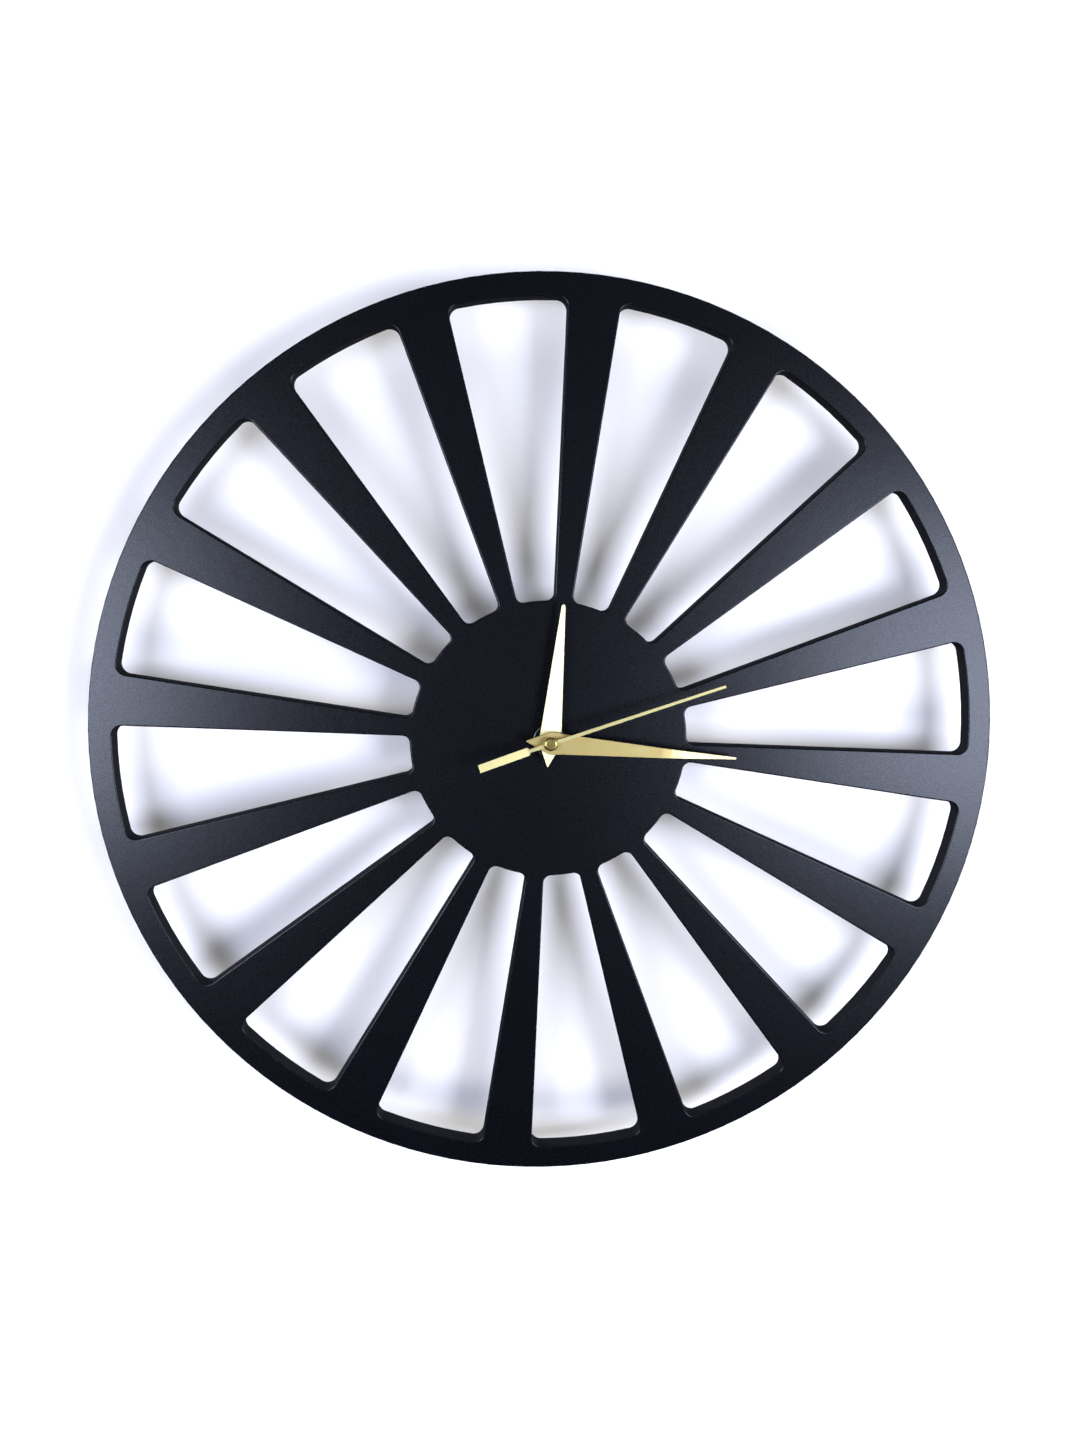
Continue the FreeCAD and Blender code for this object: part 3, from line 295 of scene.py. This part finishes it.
def gold_sheet(name, along, gold, pale, rough, anisotropy, lacquer):
    """Gold sheet brushed along the hand under clear lacquer: fine streaks, slow changes of tint."""
    f = Finish(
        name,
        Metallic=1.0,
        Anisotropic=anisotropy,
        Coat_Weight=lacquer,
        Coat_Roughness=LACQUER_ROUGHNESS,
    )
    across = (along[2], 0.0, -along[0])
    place = f.position()
    streak_place = f.node("ShaderNodeCombineXYZ")
    f.feed(streak_place.inputs[0], f.maths("MULTIPLY", f.dot(place, along), STREAK_ALONG))
    f.feed(streak_place.inputs[1], f.dot(place, across))
    f.feed(streak_place.inputs[2], f.maths("MULTIPLY", f.dot(place, ALONG_Y), STREAK_THROUGH))
    streaks = f.node("ShaderNodeTexNoise")
    f.feed(streaks.inputs["Vector"], streak_place.outputs[0])
    streaks.inputs["Scale"].default_value = STREAKS_PER_MM
    streaks.inputs["Detail"].default_value = 5.0
    streaks.inputs["Roughness"].default_value = 0.62
    cloud = f.noise(0.11, detail=3.0)
    tint = f.maths("MULTIPLY", f.span(streaks.outputs["Fac"], 0.3, 0.7), f.span(cloud, 0.25, 0.75))
    f.colour(f.blend(tint, gold, pale))
    smoother = rough - STREAK_ROUGHNESS
    rougher = rough + STREAK_ROUGHNESS
    f.roughness(f.span(streaks.outputs["Fac"], 0.25, 0.75, smoother, rougher))
    f.bump(streaks.outputs["Fac"], 0.006, 0.35)
    turn = f.node(
        "ShaderNodeVectorTransform",
        vector_type="VECTOR",
        convert_from="OBJECT",
        convert_to="WORLD",
    )
    turn.inputs[0].default_value = across
    f.feed(f.shader.inputs["Tangent"], turn.outputs[0])
    return f.material


def gold_cap():
    """The polished gold cap of the second hand, with hairline turning marks."""
    f = Finish("gold_cap", Metallic=1.0)
    rings = f.node("ShaderNodeTexWave", wave_type="RINGS", rings_direction="Y")
    f.feed(rings.inputs["Vector"], f.position())
    rings.inputs["Scale"].default_value = 2.4
    rings.inputs["Distortion"].default_value = 0.6
    tarnish = f.noise(0.7, detail=4.0, rough=0.6)
    f.colour(f.blend(tarnish, (0.84, 0.64, 0.17), (0.95, 0.77, 0.27)))
    f.roughness(f.span(f.noise(1.4, detail=3.0), 0.3, 0.7, 0.27, 0.33))
    f.bump(rings.outputs["Fac"], 0.004, 0.3)
    return f.material


def brass():
    """Turned brass with fine circular tool marks about the hand axis."""
    f = Finish("brass", Metallic=1.0)
    rings = f.node("ShaderNodeTexWave", wave_type="RINGS", rings_direction="Y")
    f.feed(rings.inputs["Vector"], f.position())
    rings.inputs["Scale"].default_value = 1.9
    rings.inputs["Distortion"].default_value = 0.8
    rings.inputs["Detail"].default_value = 3.0
    tarnish = f.noise(0.5, detail=4.0, rough=0.6)
    f.colour(f.blend(tarnish, (0.52, 0.36, 0.12), (0.72, 0.55, 0.24)))
    f.roughness(f.span(tarnish, 0.3, 0.7, 0.22, 0.38))
    f.bump(rings.outputs["Fac"], 0.008, 0.5)
    return f.material


def grained_metal(name, dark, light, low, high, stretch):
    """Rolled sheet metal whose rolling grain runs along one axis."""
    f = Finish(name, Metallic=1.0)
    grain = f.noise(3.0, detail=4.0, rough=0.65, stretch=stretch)
    bloom = f.noise(0.25, detail=3.0)
    f.colour(f.blend(bloom, dark, light))
    f.roughness(f.span(grain, 0.25, 0.75, low, high))
    f.bump(grain, 0.006, 0.5)
    return f.material


def copper_wire():
    """Enamelled copper wire wound side by side along the bobbin, with painted shade in the grooves
    between turns.
    """
    f = Finish("copper_wire", Metallic=1.0, Coat_Weight=0.6, Coat_Roughness=0.12)
    turns = f.node("ShaderNodeTexWave", wave_type="BANDS", bands_direction="X", wave_profile="SIN")
    f.feed(turns.inputs["Vector"], f.position())
    turns.inputs["Scale"].default_value = 1.6
    turns.inputs["Distortion"].default_value = 0.5
    turns.inputs["Detail"].default_value = 1.0
    # The colour darkens where the turns dip: painted shade between the turns.
    f.colour(f.blend(turns.outputs["Fac"], (0.23, 0.06, 0.025), (0.62, 0.24, 0.1)))
    f.roughness(f.span(f.noise(1.0), 0.3, 0.7, 0.26, 0.4))
    f.bump(turns.outputs["Fac"], 0.05, 0.8)
    return f.material


# ------------------------------------------------------------------ plastics and boards
def natural_plastic():
    """Unpigmented gear plastic: creamy, slightly see-through, with faint flow marks."""
    f = Finish("natural_plastic", Subsurface_Weight=0.35, Subsurface_Scale=0.002)
    flow = f.noise(0.18, detail=3.0, rough=0.55, warp=1.5)
    f.colour(f.blend(flow, (0.66, 0.63, 0.54), (0.8, 0.78, 0.71)))
    f.roughness(f.span(f.noise(1.2, detail=3.0), 0.3, 0.7, 0.34, 0.5))
    f.bump(f.noise(2.4, detail=2.0), 0.012, 0.4)
    return f.material


def board():
    """Green fibreglass board: woven glass under the lacquer."""
    f = Finish("board", Coat_Weight=0.5, Coat_Roughness=0.2)
    weave_x = f.node("ShaderNodeTexWave", wave_type="BANDS", bands_direction="X")
    weave_z = f.node("ShaderNodeTexWave", wave_type="BANDS", bands_direction="Z")
    for weave in (weave_x, weave_z):
        f.feed(weave.inputs["Vector"], f.position())
        weave.inputs["Scale"].default_value = 0.7
    cloth = f.maths("MULTIPLY", weave_x.outputs["Fac"], weave_z.outputs["Fac"])
    f.colour(f.blend(cloth, (0.02, 0.09, 0.035), (0.035, 0.16, 0.06)))
    f.roughness(f.span(f.noise(1.5), 0.3, 0.7, 0.35, 0.5))
    f.bump(cloth, 0.02, 0.4)
    return f.material


def battery_wrap():
    """A plain shrink sleeve for a cell: a slate body with a paler band at one end."""
    f = Finish("battery_wrap", Coat_Weight=0.5, Coat_Roughness=0.12)
    slate = f.blend(f.noise(0.3, detail=2.0), (0.035, 0.045, 0.065), (0.05, 0.062, 0.085))
    pale = f.blend(f.noise(0.9, detail=3.0), (0.2, 0.205, 0.21), (0.26, 0.265, 0.27))
    reach = f.dot(f.position(), ALONG_X)
    band = f.span(reach, BAND_START - BAND_SOFTNESS, BAND_START + BAND_SOFTNESS)
    f.colour(f.blend(band, slate, pale))
    f.roughness(f.span(f.noise(0.8, detail=2.0), 0.3, 0.7, 0.3, 0.42))
    f.bump(f.noise(0.5, detail=2.0, stretch=(0.15, 1.0, 1.0)), 0.05, 0.3)
    return f.material


# ------------------------------------------------------------------ dressing the frame
def hand_direction(node):
    """The way a hand points from the axis, from the far corner of its box."""
    low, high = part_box(node)
    reach_x = high.x if high.x > -low.x else low.x
    reach_z = high.z if high.z > -low.z else low.z
    return Vector((reach_x, 0.0, reach_z)).normalized()


# The rolling grain is drawn out along one axis of the part.
GRAIN_ALONG_X = (0.1, 1.0, 1.0)
GRAIN_ALONG_Z = (1.0, 1.0, 0.1)

# Sheet metals: darker colour, lighter colour, lowest and highest roughness, grain.
STEEL = ((0.42, 0.42, 0.43), (0.58, 0.58, 0.59), 0.24, 0.4, GRAIN_ALONG_X)
NICKEL = ((0.56, 0.53, 0.48), (0.7, 0.67, 0.61), 0.2, 0.34, GRAIN_ALONG_Z)

# Each hand: darker gold, paler gold, roughness, anisotropy, weight of the lacquer. The three hands
# are one gold; their tints differ to paint how bright each shows, the hour hand's paler gold being
# a painted highlight.
HANDS = {
    "hour_hand": ((0.92, 0.8, 0.38), (0.97, 0.88, 0.5), 0.45, 0.89, 0.6),
    "minute_hand": ((0.93, 0.71, 0.24), (0.99, 0.83, 0.36), 0.475, 0.1, 0.9),
    "second_hand": ((0.95, 0.81, 0.33), (0.99, 0.9, 0.45), 0.52, 0.0, 0.6),
}


def dress_frame():
    """Gives every CAD node the finish of its material slot, and each hand its own brushed gold, the
    hour hand's paler tint being a painted highlight.
    """
    finishes = {
        "black_paint": black_paint(),
        "black_zinc": black_zinc(),
        "rubber": rubber(),
        "brass": brass(),
        "case_plastic": case_plastic(),
        "natural_plastic": natural_plastic(),
        "gold_cap": gold_cap(),
        "steel": grained_metal("steel", *STEEL),
        "nickel": grained_metal("nickel", *NICKEL),
        "magnet": magnet(),
        "copper_wire": copper_wire(),
        "board": board(),
        "resin": resin(),
        "battery_wrap": battery_wrap(),
    }
    for name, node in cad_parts.items():
        if name in HANDS:
            along = tuple(hand_direction(name))
            material = gold_sheet(name + "_gold", along, *HANDS[name])
        else:
            material = finishes[node.data.materials[0].name.split(".")[0]]
        for slot in node.material_slots:
            slot.material = material
    build_battery(finishes["battery_wrap"], finishes["nickel"])


# ------------------------------------------------------------------ battery
# The pale band of the wrap begins here, in mm along X, and turns this gradually.
BAND_START = 13.0
BAND_SOFTNESS = 0.1
CELL_SIDES = 72
CELL_NUB = 1.0 * MM
CELL_NUB_RADIUS = 2.65 * MM
CELL_NUB_FOOT = 3.3 * MM
CELL_FLAT_RADIUS = 4.3 * MM
CELL_STEP = 0.2 * MM
SLEEVE_LIP = 5.9 * MM
SLEEVE_WALL = 0.12 * MM
SLEEVE_EDGE = 0.55 * MM
SLEEVE_SETBACK = 0.08 * MM
CELL_GAP = 1.5 * SLEEVE_WALL
CAN_CLEARANCE = SLEEVE_WALL / 2
ARC_STEPS = 6


def arc(centre_x, centre_radius, size, start, end):
    """Points of a quarter arc in the (x, radius) plane, from one angle in degrees to another."""
    points = []
    for number in range(ARC_STEPS + 1):
        angle = math.radians(start + (end - start) * number / ARC_STEPS)
        points.append((centre_x + size * math.cos(angle), centre_radius + size * math.sin(angle)))
    return points


def turned_along_x(name, outline, axis, closed):
    """A smooth surface of revolution about a line along X, from (x, radius) points."""
    form = bmesh.new()
    rings = []
    for x, radius in outline:
        if radius == 0.0:
            rings.append([form.verts.new((x, axis.y, axis.z))] * CELL_SIDES)
            continue
        ring = []
        for side in range(CELL_SIDES):
            angle = math.tau * side / CELL_SIDES
            y = axis.y + radius * math.cos(angle)
            ring.append(form.verts.new((x, y, axis.z + radius * math.sin(angle))))
        rings.append(ring)
    pairs = list(zip(rings, rings[1:]))
    if closed:
        pairs.append((rings[-1], rings[0]))
    for near, far in pairs:
        for side in range(CELL_SIDES):
            after = (side + 1) % CELL_SIDES
            corners = dict.fromkeys([near[side], near[after], far[after], far[side]])
            form.faces.new(list(corners)).smooth = True
    bmesh.ops.recalc_face_normals(form, faces=form.faces)
    mesh = bpy.data.meshes.new(name)
    form.to_mesh(mesh)
    form.free()
    made = bpy.data.objects.new(name, mesh)
    bpy.context.scene.collection.objects.link(made)
    return made


def build_battery(sleeve_finish, can_finish):
    """The cell as a metal can with a flat end and a nub, in a sleeve rolled over both ends."""
    low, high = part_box("battery")
    axis = (low + high) / 2
    outer = (high.z - low.z) / 2
    start = low.x + SLEEVE_SETBACK
    end = high.x - CELL_NUB
    shoulder = outer - SLEEVE_EDGE
    inner = outer - 2 * SLEEVE_WALL

    sleeve_line = [(start, SLEEVE_LIP)]
    sleeve_line += arc(start + SLEEVE_EDGE, shoulder, SLEEVE_EDGE, 180.0, 90.0)
    sleeve_line += arc(end - SLEEVE_EDGE, shoulder, SLEEVE_EDGE, 90.0, 0.0)
    sleeve_line += [(end, SLEEVE_LIP), (end - SLEEVE_WALL, SLEEVE_LIP), (end - SLEEVE_WALL, inner)]
    sleeve_line += [(start + SLEEVE_WALL, inner), (start + SLEEVE_WALL, SLEEVE_LIP)]
    sleeve = turned_along_x("battery_sleeve", sleeve_line, axis, True)
    sleeve.data.materials.append(sleeve_finish)
    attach(sleeve, "clock_frame")
    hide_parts("battery")

    can_start = start + CELL_GAP
    can_end = end - CELL_GAP
    can_radius = inner - CAN_CLEARANCE
    can_line = [(low.x, 0.0), (low.x, CELL_FLAT_RADIUS), (can_start, CELL_FLAT_RADIUS + CELL_STEP)]
    can_line += [(can_start, can_radius), (can_end, can_radius), (can_end, CELL_NUB_FOOT)]
    round_off = CELL_STEP * 2
    can_line += [(can_end + CELL_STEP, CELL_NUB_RADIUS)]
    can_line += arc(high.x - round_off, CELL_NUB_RADIUS - round_off, round_off, 90.0, 0.0)
    can_line += [(high.x, 0.0)]
    can = turned_along_x("battery_can", can_line, axis, False)
    can.data.materials.append(can_finish)
    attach(can, "clock_frame")


# ------------------------------------------------------------------ room
def one_sided(name, shade):
    """A plain diffuse surface that nothing sees from behind and that casts no shadow."""
    material = bpy.data.materials.new(name)
    material.use_nodes = True
    tree = material.node_tree
    tree.nodes.clear()
    output = tree.nodes.new("ShaderNodeOutputMaterial")
    paint = tree.nodes.new("ShaderNodeBsdfDiffuse")
    paint.inputs["Color"].default_value = (*shade, 1.0)
    clear = tree.nodes.new("ShaderNodeBsdfTransparent")
    geometry = tree.nodes.new("ShaderNodeNewGeometry")
    path = tree.nodes.new("ShaderNodeLightPath")
    either = tree.nodes.new("ShaderNodeMath")
    either.operation = "MAXIMUM"
    mix = tree.nodes.new("ShaderNodeMixShader")
    tree.links.new(geometry.outputs["Backfacing"], either.inputs[0])
    tree.links.new(path.outputs["Is Shadow Ray"], either.inputs[1])
    tree.links.new(either.outputs[0], mix.inputs[0])
    tree.links.new(paint.outputs[0], mix.inputs[1])
    tree.links.new(clear.outputs[0], mix.inputs[2])
    tree.links.new(mix.outputs[0], output.inputs["Surface"])
    return material


def sheet(name, corners, material):
    """One flat face of the room; mirrors never see it, and only the wall sends light back."""
    mesh = bpy.data.meshes.new(name)
    mesh.from_pydata([Vector(c) for c in corners], [], [(0, 1, 2, 3)])
    mesh.materials.append(material)
    made = bpy.data.objects.new(name, mesh)
    bpy.context.scene.collection.objects.link(made)
    made.visible_glossy = False
    made.visible_diffuse = name == "wall"


WALL_Y = 0.0005
ROOM_HALF = 12.0
FLOOR_Z = -0.62
WALL_SHADE = (0.955, 0.935, 0.935)
FLOOR_SHADE = (0.8, 0.79, 0.77)


def build_room():
    """A wall just behind the clock and a floor well below it."""
    wall_paint = one_sided("wall_white", WALL_SHADE)
    floor_paint = one_sided("floor_pale", FLOOR_SHADE)
    left, right = -ROOM_HALF, ROOM_HALF
    near, far = -ROOM_HALF, ROOM_HALF
    bottom = FLOOR_Z
    top = FLOOR_Z + 2 * ROOM_HALF
    wall = [
        (left, WALL_Y, bottom),
        (right, WALL_Y, bottom),
        (right, WALL_Y, top),
        (left, WALL_Y, top),
    ]
    floor = [
        (left, near, bottom),
        (right, near, bottom),
        (right, far, bottom),
        (left, far, bottom),
    ]
    sheet("wall", wall, wall_paint)
    sheet("floor", floor, floor_paint)


# The glow changes between these heights of a direction, from the lower to the upper strength.
GLOW_SPAN = 0.7
GLOW_BELOW = 0.015
GLOW_ABOVE = 0.07
GLOW_TINT = (0.86, 0.93, 1.0, 1.0)
BACKDROP_WHITE = (1.0, 1.0, 1.0, 1.0)


def build_world():
    """White to look at, and a dim cool glow as light, dimmer from below."""
    world = bpy.data.worlds.new("studio")
    bpy.context.scene.world = world
    world.use_nodes = True
    tree = world.node_tree
    tree.nodes.clear()
    output = tree.nodes.new("ShaderNodeOutputWorld")
    coordinates = tree.nodes.new("ShaderNodeTexCoord")
    split = tree.nodes.new("ShaderNodeSeparateXYZ")
    height = tree.nodes.new("ShaderNodeMapRange")
    height.inputs["From Min"].default_value = -GLOW_SPAN
    height.inputs["From Max"].default_value = GLOW_SPAN
    height.inputs["To Min"].default_value = GLOW_BELOW
    height.inputs["To Max"].default_value = GLOW_ABOVE
    glow = tree.nodes.new("ShaderNodeBackground")
    glow.inputs["Color"].default_value = GLOW_TINT
    seen = tree.nodes.new("ShaderNodeBackground")
    seen.inputs["Color"].default_value = BACKDROP_WHITE
    path = tree.nodes.new("ShaderNodeLightPath")
    mix = tree.nodes.new("ShaderNodeMixShader")
    tree.links.new(coordinates.outputs["Generated"], split.inputs[0])
    tree.links.new(split.outputs["Z"], height.inputs["Value"])
    tree.links.new(height.outputs[0], glow.inputs["Strength"])
    tree.links.new(path.outputs["Is Camera Ray"], mix.inputs[0])
    tree.links.new(glow.outputs[0], mix.inputs[1])
    tree.links.new(seen.outputs[0], mix.inputs[2])
    tree.links.new(mix.outputs[0], output.inputs["Surface"])


LIGHT_AIM = Vector((0.0, 0.0, 0.0))


def panel(name, place, width, height, power, tint, shows=True):
    """A soft rectangular light aimed at the hand axis, which the camera never sees."""
    light = bpy.data.lights.new(name, "AREA")
    light.shape = "RECTANGLE"
    light.size = width
    light.size_y = height
    light.energy = power
    light.color = tint
    made = bpy.data.objects.new(name, light)
    made.location = place
    aim = LIGHT_AIM - Vector(place)
    made.rotation_mode = "QUATERNION"
    made.rotation_quaternion = aim.to_track_quat("-Z", "Y")
    made.visible_camera = False
    made.visible_glossy = shows
    bpy.context.scene.collection.objects.link(made)


COOL = (0.7, 0.765, 1.0)
SOFT = (0.93, 0.95, 1.0)
NEUTRAL = (1.0, 1.0, 1.0)
# The two soft panels: place, width and height in metres.
RIGHT_PANEL = ((0.66, -0.9, -0.015), 0.56, 0.38)
LEFT_PANEL = ((-0.59, -0.9, -0.09), 0.46, 0.38)
OVERHEAD_POWER = 4.2
OVERHEAD_SPREAD = 25.0


def overhead_light():
    """A wide soft light from straight above, which never shows as a reflection."""
    light = bpy.data.lights.new("overhead", "SUN")
    light.energy = OVERHEAD_POWER
    light.angle = math.radians(OVERHEAD_SPREAD)
    made = bpy.data.objects.new("overhead", light)
    made.visible_glossy = False
    bpy.context.scene.collection.objects.link(made)


def build_lights():
    """Two soft panels either side of a dark middle, fills for the wall, and lights for the back."""
    panel("panel_right", *RIGHT_PANEL, 7.4, COOL)
    panel("wash_right", *RIGHT_PANEL, 6.0, SOFT, shows=False)
    panel("panel_left", *LEFT_PANEL, 6.0, COOL)
    panel("wash_left", *LEFT_PANEL, 2.4, SOFT, shows=False)
    panel("fill_low", (0.0, -0.7, -0.55), 1.6, 0.3, 5.5, NEUTRAL, shows=False)
    panel("fill_high", (0.0, -0.7, 1.1), 1.6, 0.5, 4.5, NEUTRAL, shows=False)
    panel("rear_wash", (-1.1, 1.1, 1.2), 1.2, 1.0, 60.0, NEUTRAL, shows=False)
    panel("rear_fill", (1.3, 1.0, 0.1), 1.2, 1.2, 14.0, NEUTRAL, shows=False)
    panel("rear_strip_left", (-1.2, 0.55, 0.3), 0.2, 0.7, 3.0, NEUTRAL)
    panel("rear_strip_right", (1.1, 0.6, -0.1), 0.2, 0.7, 3.0, NEUTRAL)
    overhead_light()


# ------------------------------------------------------------------ camera
# Places in metres, the roll in degrees, the lens and the sensor's width in mm.
CAMERA_PLACE = (-0.03768, -0.4874, 0.06317)
CAMERA_AIM = (-0.00439, -0.0245, 0.00766)
CAMERA_ROLL = 5.90
CAMERA_LENS = 29.83
CAMERA_SENSOR = 36.0
CAMERA_NEAR = 0.01
CAMERA_FAR = 50.0


def build_camera():
    """In front of the clock, a little above and to the left of the hand axis, and rolled."""
    data = bpy.data.cameras.new("camera")
    data.sensor_width = CAMERA_SENSOR
    data.lens = CAMERA_LENS
    data.clip_start = CAMERA_NEAR
    data.clip_end = CAMERA_FAR
    camera = bpy.data.objects.new("camera", data)
    aim = Vector(CAMERA_AIM) - Vector(CAMERA_PLACE)
    roll = Quaternion((0.0, 0.0, 1.0), math.radians(CAMERA_ROLL))
    camera.location = CAMERA_PLACE
    camera.rotation_mode = "QUATERNION"
    camera.rotation_quaternion = aim.to_track_quat("-Z", "Y") @ roll
    bpy.context.scene.collection.objects.link(camera)
    bpy.context.scene.camera = camera


bpy.context.scene.view_settings.view_transform = "Standard"
dress_frame()
build_room()
build_world()
build_lights()
build_camera()
